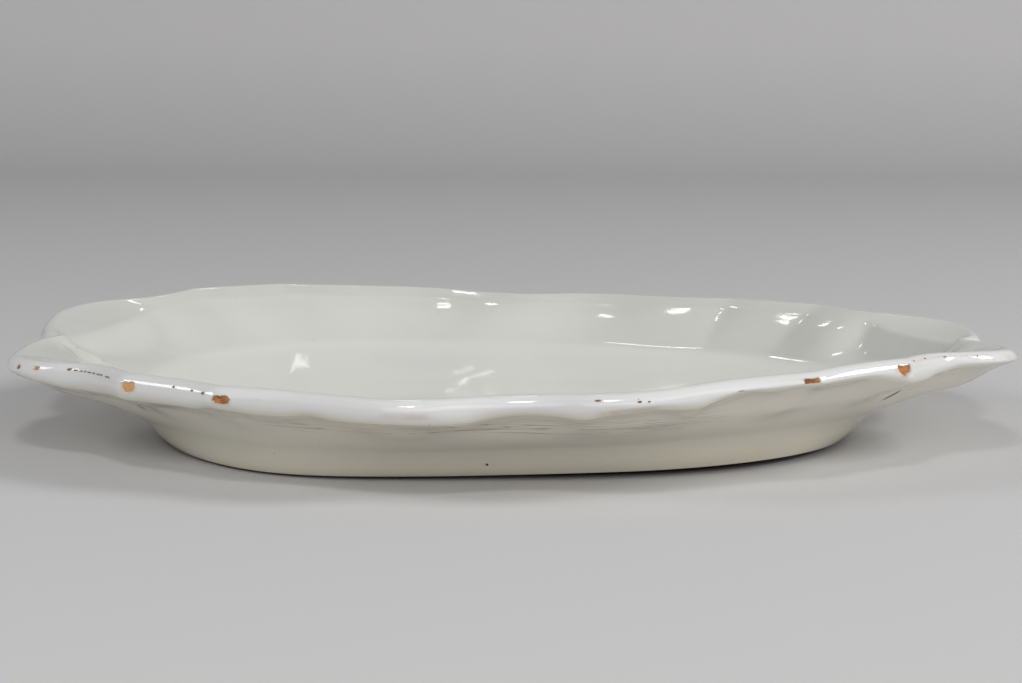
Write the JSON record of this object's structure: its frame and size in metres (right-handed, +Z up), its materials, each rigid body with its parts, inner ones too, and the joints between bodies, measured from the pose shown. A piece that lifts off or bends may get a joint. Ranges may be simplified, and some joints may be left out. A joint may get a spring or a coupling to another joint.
{
  "type": "serving platter",
  "caption": "Lobed oval serving platter of white tin-glazed red earthenware: sloping rim with thick rounded lip, notched ends, sunken well, chipped edge, bare foot.",
  "frame": {"origin": "centre of the foot's flat land, on the surface that the platter stands on", "axes": "+X along the length, +Y across the width, away from the pictured side, +Z up"},
  "size_m": [0.4188, 0.3146, 0.0472],
  "materials": {
    "terracotta": "bare fired red earthenware, matt and slightly grainy",
    "tin_glaze": "glossy opaque white tin glaze, faintly warm, worn along the lip",
    "base_glaze": "thinner glossy tin glaze, scuffed"
  },
  "bodies": {
    "root": {"clay_body": "terracotta", "glaze_coat": "tin_glaze", "base_glaze": "base_glaze"}
  },
  "joints": []
}
